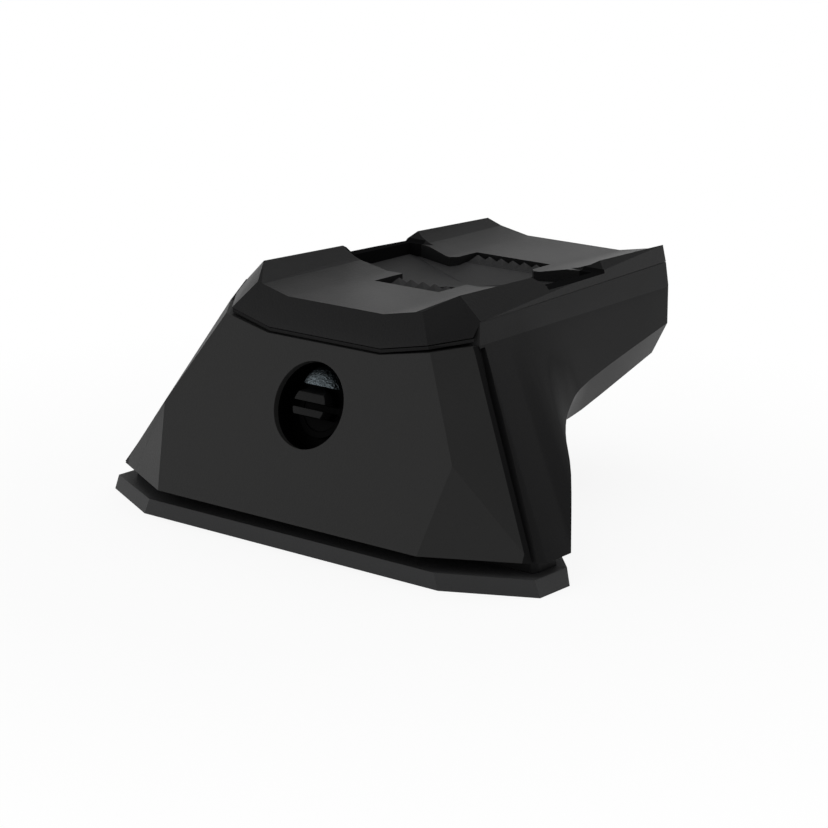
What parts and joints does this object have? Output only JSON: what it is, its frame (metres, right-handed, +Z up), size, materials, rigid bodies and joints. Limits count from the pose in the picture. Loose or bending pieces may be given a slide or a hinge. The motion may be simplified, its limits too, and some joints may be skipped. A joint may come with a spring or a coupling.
{
  "type": "roof bar foot",
  "caption": "Foot of a roof rack: a tower bolted to the roof through a base pad, with a lockable pull-off front cover and an arm whose saddle carries a flat roof bar.",
  "frame": {"origin": "middle of the base pad's underside, where it meets the roof", "axes": "+X across the roof bar, +Y inward along the roof bar towards the arm's tip, +Z up from the roof"},
  "size_m": [0.152, 0.1289, 0.069],
  "materials": {
    "pad_rubber": "matte moulded rubber with a fine grain",
    "body_plastic": "matte black moulded plastic",
    "cover_plastic": "fine grained matte black plastic",
    "saddle_plastic": "satin black plastic",
    "grip_rubber": "matte black rubber",
    "lock_black": "black, half gloss",
    "steel": "zinc plated steel",
    "guard_steel": "sandblasted steel",
    "cast_metal": "die cast, plain",
    "coated_metal": "die cast, black powder coat"
  },
  "bodies": {
    "root": {"base_pad": "pad_rubber", "base_shoe": "coated_metal", "foot_body": "body_plastic", "saddle_cap": "saddle_plastic", "grip_plate": "grip_rubber", "keeper_plate": "steel", "keeper_screw_top": "steel", "keeper_screw_bottom": "steel", "clamp_washer": "steel", "bar_nut": "steel", "grip_screw_left": "steel", "grip_screw_right": "steel", "cap_screw_front_left": "steel", "cap_screw_front_right": "steel", "cap_screw_rear_left": "steel", "cap_screw_rear_right": "steel"},
    "cover": {"front_cover": "cover_plastic", "lock_sleeve": "lock_black", "sleeve_nut": "steel", "lock_guard": "guard_steel"},
    "lock": {"lock_plug": "lock_black", "lock_cam": "steel", "cam_screw": "steel"},
    "screw": {"clamp_screw": "steel", "clamp_ring": "steel"},
    "hook": {"clamp_hook": "cast_metal"}
  },
  "joints": [
    {"name": "cover_pull", "type": "slide", "parent": "root", "child": "cover", "axis": [0, -1, 0], "range_m": [0, 0.028]},
    {"name": "lock_turn", "type": "hinge", "parent": "cover", "child": "lock", "pos_m": [0, -0.01888, 0.0379], "axis": [0, 0.9379, -0.3469], "range_deg": [0, 90]},
    {"name": "clamp_turn", "type": "hinge", "parent": "root", "child": "screw", "pos_m": [0, 0, 0.0182], "axis": [0, 1, 0], "range_deg": [0, 1440]},
    {"name": "clamp_slide", "type": "slide", "parent": "root", "child": "hook", "axis": [0, -1, 0], "range_m": [0, 0.0051]}
  ],
  "couplings": [
    {"joint": "clamp_slide", "follows": "clamp_turn", "m_per_rad": 0.00019894}
  ]
}
